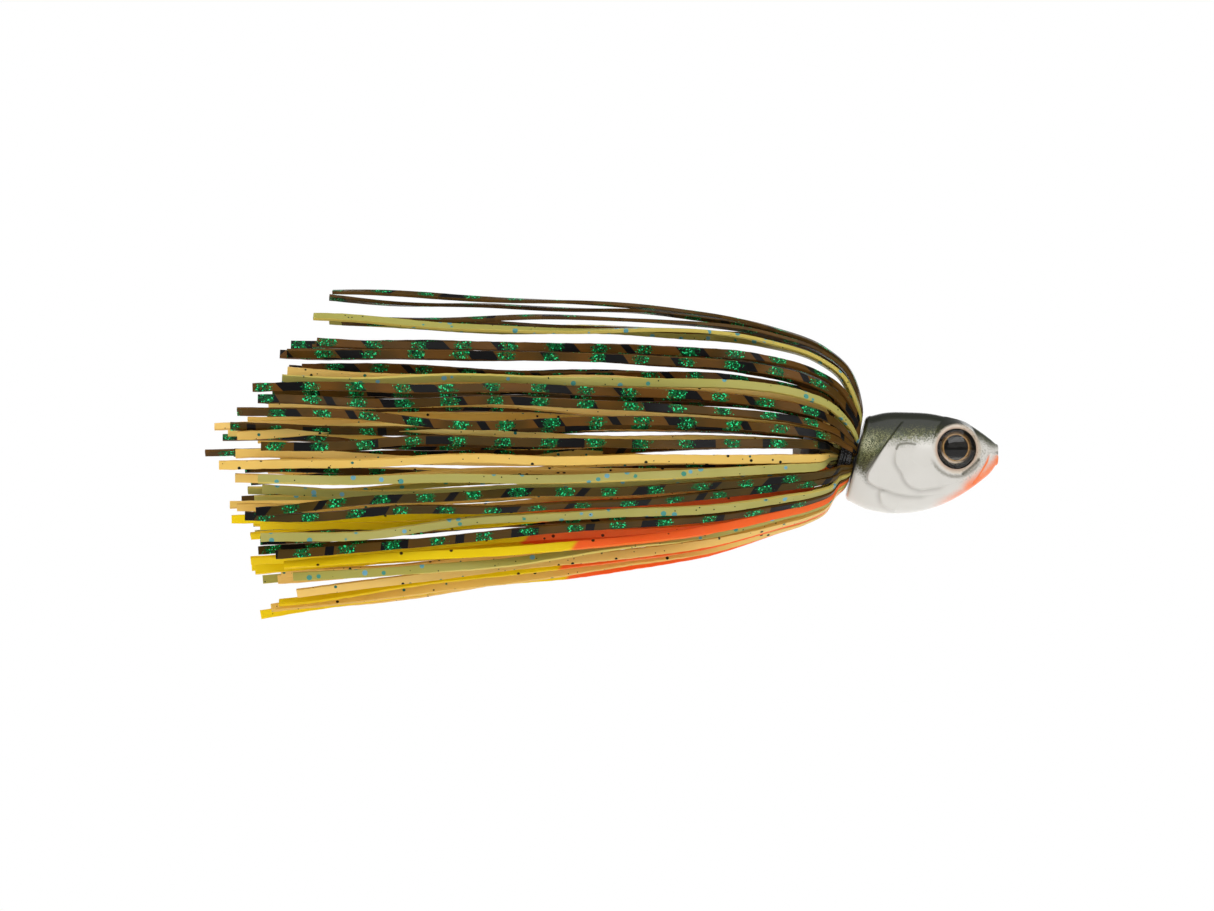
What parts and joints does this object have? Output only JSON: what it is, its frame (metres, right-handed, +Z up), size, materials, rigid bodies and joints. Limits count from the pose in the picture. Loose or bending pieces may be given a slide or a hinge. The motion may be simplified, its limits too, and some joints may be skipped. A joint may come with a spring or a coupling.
{
  "type": "skirted fishing lure head",
  "caption": "Painted fish-head weight with domed eyes on a line tube, and a silicone strand skirt bound behind it.",
  "frame": {"origin": "centre of the line bore at its mouth, between the lips", "axes": "+X forward along the line bore, out of the mouth; +Z up, towards the fish's back; its right side is -Y"},
  "size_m": [0.1178, 0.0306, 0.0472],
  "materials": {
    "head_paint": "gloss",
    "line_tube": "satin",
    "eye_foil": "foil",
    "eye_lens": "clear",
    "strand_roots": "satin",
    "thread": "waxed",
    "barred_silicone": "satin",
    "olive_silicone": "satin",
    "amber_silicone": "satin",
    "two_tone_silicone": "satin"
  },
  "bodies": {
    "head": {"head_casting": "head_paint", "line_tube": "line_tube", "eye_foil_right": "eye_foil", "eye_lens_right": "eye_lens", "eye_foil_left": "eye_foil", "eye_lens_left": "eye_lens", "strand_roots": "strand_roots", "binding_thread": "thread"},
    "strands_right_top": {"barred_strands_right_top": "barred_silicone", "olive_strands_right_top": "olive_silicone"},
    "strands_right_upper": {"barred_strands_right_upper": "barred_silicone", "olive_strands_right_upper": "olive_silicone", "amber_strands_right_upper": "amber_silicone"},
    "strands_right_high_side": {"barred_strands_right_high_side": "barred_silicone", "amber_strands_right_high_side": "amber_silicone"},
    "strands_right_low_side": {"amber_strands_right_low_side": "amber_silicone", "olive_strands_right_low_side": "olive_silicone", "barred_strands_right_low_side": "barred_silicone"},
    "strands_right_lower": {"olive_strands_right_lower": "olive_silicone", "barred_strands_right_lower": "barred_silicone", "two_tone_strands_right_lower": "two_tone_silicone", "amber_strands_right_lower": "amber_silicone"},
    "strands_right_belly": {"amber_strands_right_belly": "amber_silicone", "two_tone_strands_right_belly": "two_tone_silicone"},
    "strands_left_top": {"barred_strands_left_top": "barred_silicone", "olive_strands_left_top": "olive_silicone"},
    "strands_left_upper": {"barred_strands_left_upper": "barred_silicone", "olive_strands_left_upper": "olive_silicone", "amber_strands_left_upper": "amber_silicone"},
    "strands_left_high_side": {"barred_strands_left_high_side": "barred_silicone", "amber_strands_left_high_side": "amber_silicone"},
    "strands_left_low_side": {"amber_strands_left_low_side": "amber_silicone", "olive_strands_left_low_side": "olive_silicone", "barred_strands_left_low_side": "barred_silicone"},
    "strands_left_lower": {"olive_strands_left_lower": "olive_silicone", "barred_strands_left_lower": "barred_silicone", "two_tone_strands_left_lower": "two_tone_silicone", "amber_strands_left_lower": "amber_silicone"},
    "strands_left_belly": {"amber_strands_left_belly": "amber_silicone", "two_tone_strands_left_belly": "two_tone_silicone"}
  },
  "joints": [
    {"name": "flex_right_top", "type": "hinge", "parent": "head", "child": "strands_right_top", "pos_m": [-0.02328, -0.00135, 0.00461], "axis": [0, 0.9792, 0.203], "range_deg": [-2, 12], "stiffness_Nm_per_rad": 0.004},
    {"name": "flex_right_upper", "type": "hinge", "parent": "head", "child": "strands_right_upper", "pos_m": [-0.02361, -0.00368, 0.0033], "axis": [0, 0.7909, 0.6119], "range_deg": [-2, 12], "stiffness_Nm_per_rad": 0.004},
    {"name": "flex_right_high_side", "type": "hinge", "parent": "head", "child": "strands_right_high_side", "pos_m": [-0.02418, -0.00502, 0.00104], "axis": [0, 0.3273, 0.9449], "range_deg": [-2, 12], "stiffness_Nm_per_rad": 0.004},
    {"name": "flex_right_low_side", "type": "hinge", "parent": "head", "child": "strands_right_low_side", "pos_m": [-0.02484, -0.00502, -0.00157], "axis": [0, -0.3273, 0.9449], "range_deg": [-2, 12], "stiffness_Nm_per_rad": 0.004},
    {"name": "flex_right_lower", "type": "hinge", "parent": "head", "child": "strands_right_lower", "pos_m": [-0.02541, -0.00368, -0.00383], "axis": [0, -0.7909, 0.6119], "range_deg": [-2, 12], "stiffness_Nm_per_rad": 0.004},
    {"name": "flex_right_belly", "type": "hinge", "parent": "head", "child": "strands_right_belly", "pos_m": [-0.02574, -0.00135, -0.00513], "axis": [0, -0.9792, 0.203], "range_deg": [-2, 12], "stiffness_Nm_per_rad": 0.004},
    {"name": "flex_left_top", "type": "hinge", "parent": "head", "child": "strands_left_top", "pos_m": [-0.02328, 0.00135, 0.00461], "axis": [0, 0.9792, -0.203], "range_deg": [-2, 12], "stiffness_Nm_per_rad": 0.004},
    {"name": "flex_left_upper", "type": "hinge", "parent": "head", "child": "strands_left_upper", "pos_m": [-0.02361, 0.00368, 0.0033], "axis": [0, 0.7909, -0.6119], "range_deg": [-2, 12], "stiffness_Nm_per_rad": 0.004},
    {"name": "flex_left_high_side", "type": "hinge", "parent": "head", "child": "strands_left_high_side", "pos_m": [-0.02418, 0.00502, 0.00104], "axis": [0, 0.3273, -0.9449], "range_deg": [-2, 12], "stiffness_Nm_per_rad": 0.004},
    {"name": "flex_left_low_side", "type": "hinge", "parent": "head", "child": "strands_left_low_side", "pos_m": [-0.02484, 0.00502, -0.00157], "axis": [0, -0.3273, -0.9449], "range_deg": [-2, 12], "stiffness_Nm_per_rad": 0.004},
    {"name": "flex_left_lower", "type": "hinge", "parent": "head", "child": "strands_left_lower", "pos_m": [-0.02541, 0.00368, -0.00383], "axis": [0, -0.7909, -0.6119], "range_deg": [-2, 12], "stiffness_Nm_per_rad": 0.004},
    {"name": "flex_left_belly", "type": "hinge", "parent": "head", "child": "strands_left_belly", "pos_m": [-0.02574, 0.00135, -0.00513], "axis": [0, -0.9792, -0.203], "range_deg": [-2, 12], "stiffness_Nm_per_rad": 0.004}
  ]
}
